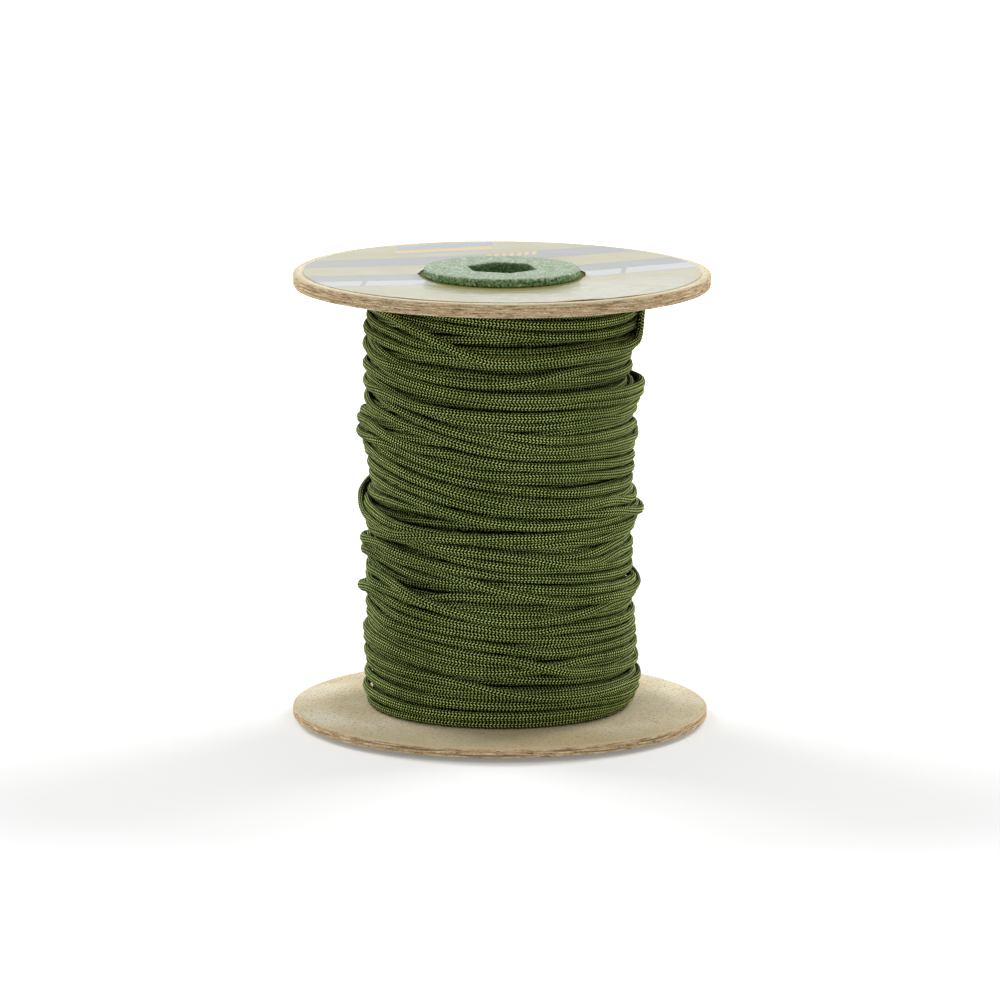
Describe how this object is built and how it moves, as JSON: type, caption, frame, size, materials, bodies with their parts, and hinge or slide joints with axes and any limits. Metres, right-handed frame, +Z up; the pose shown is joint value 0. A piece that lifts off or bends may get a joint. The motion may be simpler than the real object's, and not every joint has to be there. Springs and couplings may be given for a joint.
{
  "type": "fishing line spool",
  "caption": "Spool of flat braided fishing line with round board flanges, a board core and moulded hubs with a hexagonal drive through the middle.",
  "frame": {"origin": "middle of the lower hub's collar, on the face that the spool stands on", "axes": "+Z up along the spool's axis, -Y towards the viewer; the part is round, so the choice of X and Y only sets where the hexagon's corners lie"},
  "size_m": [0.1142, 0.1142, 0.1261],
  "materials": {
    "board": "matte grey-tan paperboard with brown cut edges",
    "tube": "matte spiral-wound kraft board",
    "hub": "grainy green moulding, pale where it is scuffed",
    "label": "glossy cream-olive printed paper",
    "line": "olive green flat braid with a slight shine"
  },
  "bodies": {
    "root": {"bottom_hub": "hub", "bottom_flange_ply_1": "board", "bottom_flange_ply_2": "board", "bottom_flange_ply_3": "board", "core_tube": "tube", "line_inner_layers": "line", "line_outer_layer": "line", "top_flange_ply_1": "board", "top_flange_ply_2": "board", "top_flange_ply_3": "board", "top_flange_ply_4": "board", "top_label": "label", "top_hub": "hub"}
  },
  "joints": []
}
